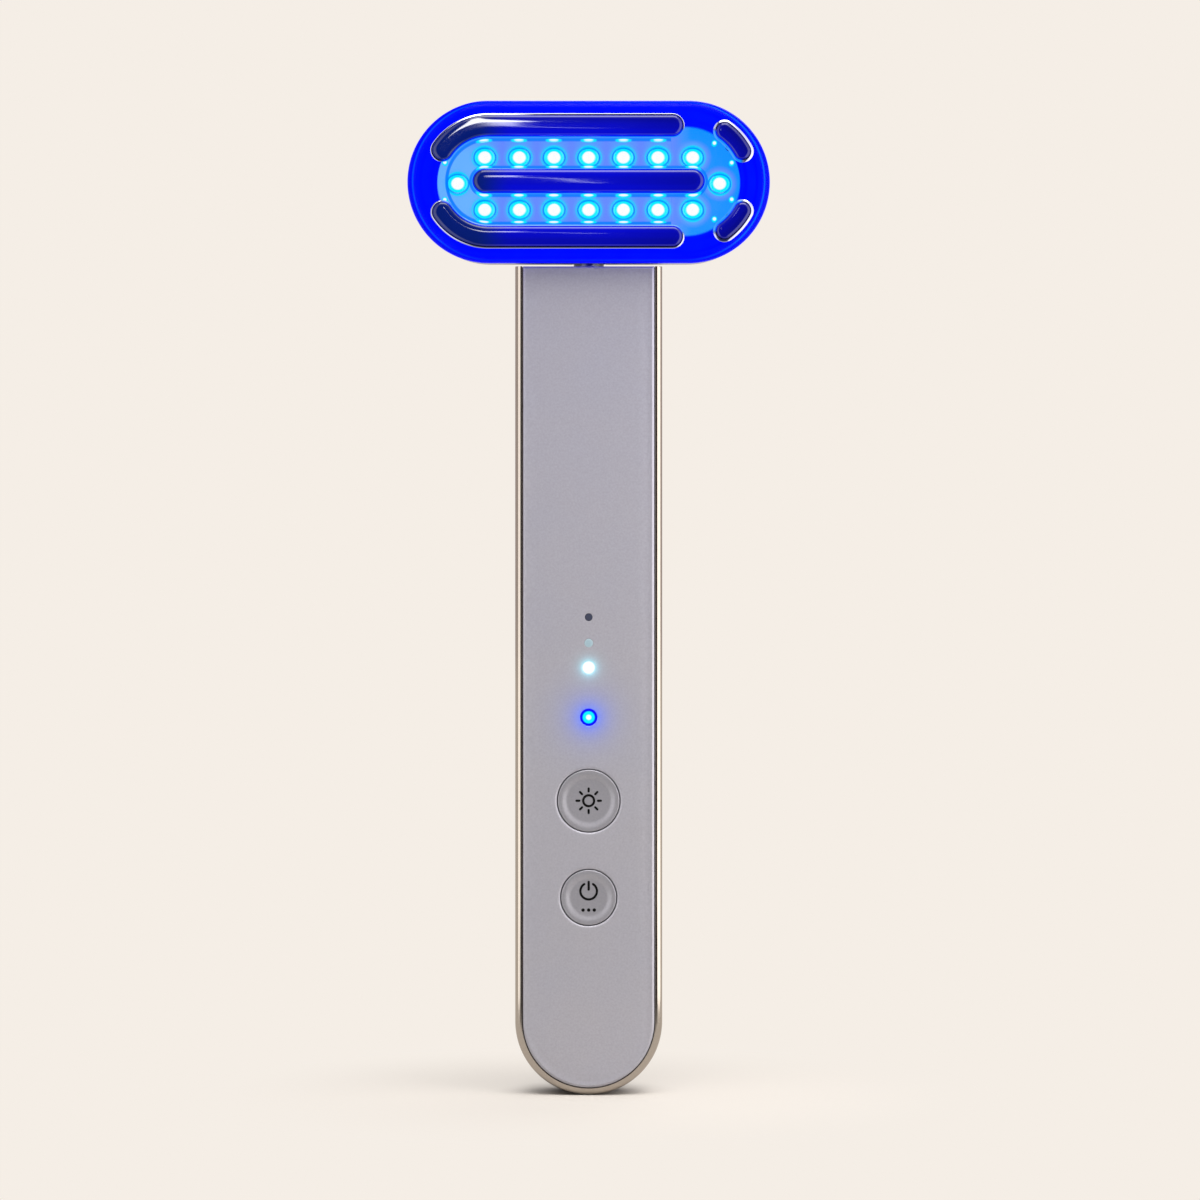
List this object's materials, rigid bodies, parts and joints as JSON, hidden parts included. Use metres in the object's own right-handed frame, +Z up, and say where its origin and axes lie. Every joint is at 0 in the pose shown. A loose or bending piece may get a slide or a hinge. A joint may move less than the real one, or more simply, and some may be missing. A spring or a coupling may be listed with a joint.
{
  "type": "skincare wand",
  "caption": "Slim hand-held skincare wand: a swivelling oblong head with blue lights and glossy navy electrodes on a flat metal-rimmed handle with two push buttons.",
  "frame": {"origin": "middle of the wand in width and depth, at the lowest point of the handle's round lower end", "axes": "+Z up along the handle towards the head, front with the electrodes and the buttons towards -Y, +X to the right seen from the front"},
  "size_m": [0.0546, 0.0164, 0.15],
  "materials": {
    "satin_panel": "anodised, fine satin",
    "satin_cap": "anodised, fine satin",
    "satin_shell": "satin paint on moulded ABS",
    "polished_rim": "polished, warm nickel",
    "chrome_electrode": "polished, dark blue coating",
    "lit_lens": "clear acrylic, lit blue",
    "reflector": "white, lit blue",
    "led": "lit, white core",
    "window_dark": "dark window",
    "window_teal": "faint teal window",
    "window_white": "lit white",
    "window_blue": "lit blue",
    "rubber": "matte",
    "inner_plastic": "moulded",
    "natural_plastic": "moulded, natural",
    "circuit_board": "green solder mask",
    "white_board": "white solder mask",
    "steel": "turned or stamped",
    "brass": "plated",
    "lead_black": "sleeved",
    "lead_red": "insulated",
    "battery_wrap": "foil pouch"
  },
  "bodies": {
    "handle": {"rear_shell": "satin_shell", "bezel_band": "polished_rim", "bezel_contact_spring": "brass", "chassis": "inner_plastic", "chassis_screws": "steel", "panel_tape": "inner_plastic", "front_panel": "satin_panel", "indicator_window_dark": "window_dark", "indicator_window_teal": "window_teal", "indicator_window_white": "window_white", "indicator_window_blue": "window_blue", "indicator_leds": "led", "main_board": "circuit_board", "board_screws": "steel", "board_chips": "inner_plastic", "light_switch": "inner_plastic", "mode_switch": "inner_plastic", "usb_c_shell": "steel", "usb_c_tongue": "inner_plastic", "battery_cell": "battery_wrap", "battery_foam": "rubber", "battery_leads": "lead_red", "top_cap": "inner_plastic", "neck_bush": "natural_plastic", "friction_ring": "rubber", "stop_pin": "steel", "handle_lead": "lead_black", "lead_connector": "natural_plastic"},
    "head": {"neck_stem": "steel", "retaining_clip": "steel", "neck_screws": "steel", "head_rear_shell": "satin_shell", "head_lens": "lit_lens", "head_gasket": "rubber", "light_board": "white_board", "light_board_screws": "steel", "treatment_leds": "led", "reflector_plate": "reflector", "electrode_upper": "chrome_electrode", "electrode_lower": "chrome_electrode", "electrode_centre": "chrome_electrode", "electrode_small_upper": "chrome_electrode", "electrode_small_lower": "chrome_electrode", "electrode_contacts": "brass", "motor_can": "steel", "motor_cradle": "rubber", "head_lead": "lead_black"},
    "motor_rotor": {"motor_shaft": "steel", "motor_weight": "brass"},
    "light_button": {"light_button_cap": "satin_cap", "light_switch_plunger": "natural_plastic"},
    "mode_button": {"mode_button_cap": "satin_cap", "mode_switch_plunger": "natural_plastic"}
  },
  "joints": [
    {"name": "head_swivel", "type": "hinge", "parent": "handle", "child": "head", "pos_m": [0, 0.00175, 0.1254], "axis": [0, 0, 1], "range_deg": [-90, 90]},
    {"name": "light_button_press", "type": "slide", "parent": "handle", "child": "light_button", "axis": [0, 1, 0], "range_m": [0, 0.00035], "stiffness_N_per_m": 3000},
    {"name": "mode_button_press", "type": "slide", "parent": "handle", "child": "mode_button", "axis": [0, 1, 0], "range_m": [0, 0.00035], "stiffness_N_per_m": 3000},
    {"name": "motor_spin", "type": "hinge", "parent": "head", "child": "motor_rotor", "pos_m": [0, 0.0033, 0.13815], "axis": [1, 0, 0], "continuous": true}
  ]
}
